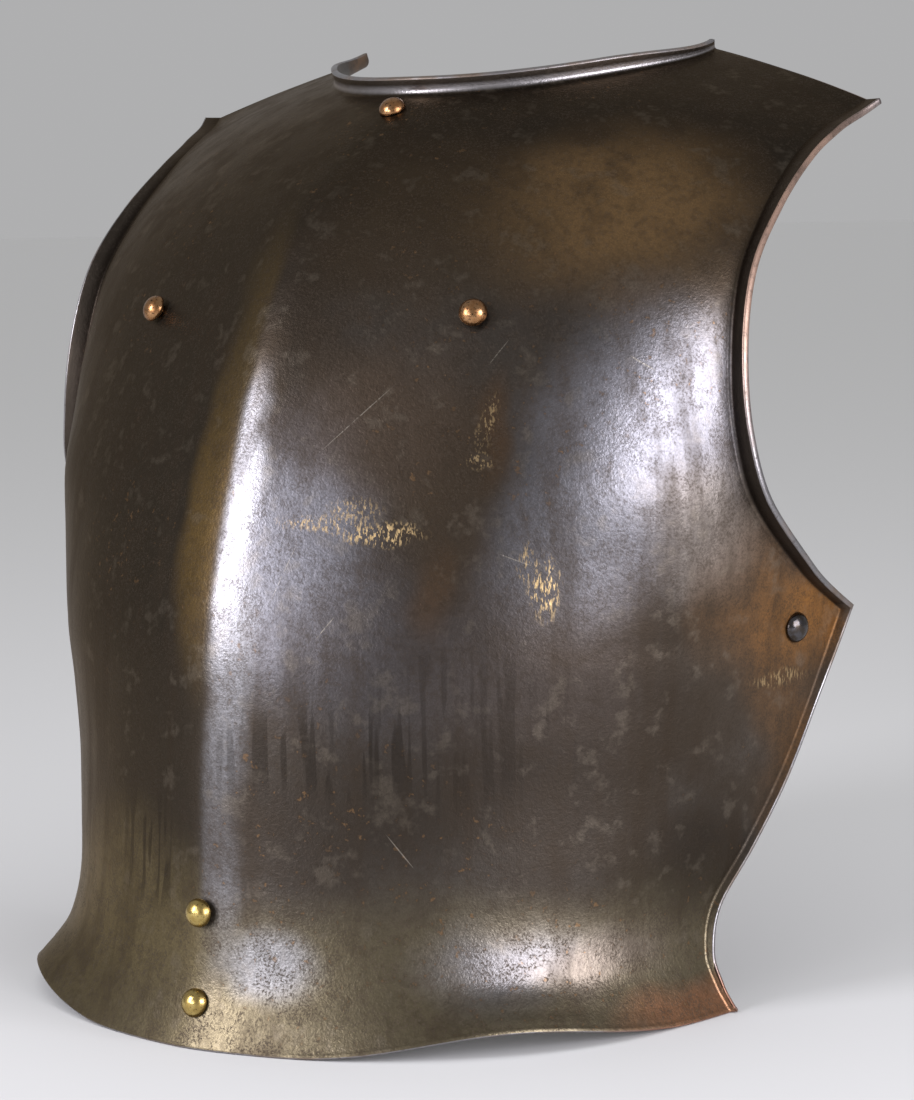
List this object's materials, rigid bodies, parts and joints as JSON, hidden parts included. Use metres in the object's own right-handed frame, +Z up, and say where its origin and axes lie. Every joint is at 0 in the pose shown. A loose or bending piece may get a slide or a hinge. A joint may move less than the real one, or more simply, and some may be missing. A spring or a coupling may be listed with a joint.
{
  "type": "cuirass breastplate",
  "caption": "Forged steel breastplate with a rounded central ridge, turned neck, arm and side flanges, a flared skirt and brass studs.",
  "frame": {"origin": "centre of the bounding box's base, on the plane that the flared lower rim stands on", "axes": "+Z up from the skirt to the neck, -Y out of the chest along the central ridge's facing, +X towards the wearer's left; the YZ plane is the mirror plane"},
  "size_m": [0.3948, 0.2942, 0.4239],
  "materials": {
    "patinated_steel": "dark brown-black patina over polished forged steel, worn grey and blue-grey on the chest, with orange rust near the edges",
    "dark_steel": "dark polished steel rivet head",
    "coppery_brass": "copper-coloured brass with dark specks",
    "yellow_brass": "yellow brass, lightly worn"
  },
  "bodies": {
    "root": {"breastplate": "patinated_steel", "neck_stud": "coppery_brass", "chest_stud_left": "coppery_brass", "chest_stud_right": "coppery_brass", "side_rivet_left": "dark_steel", "side_rivet_right": "dark_steel", "waist_stud": "yellow_brass", "skirt_stud": "yellow_brass"}
  },
  "joints": []
}
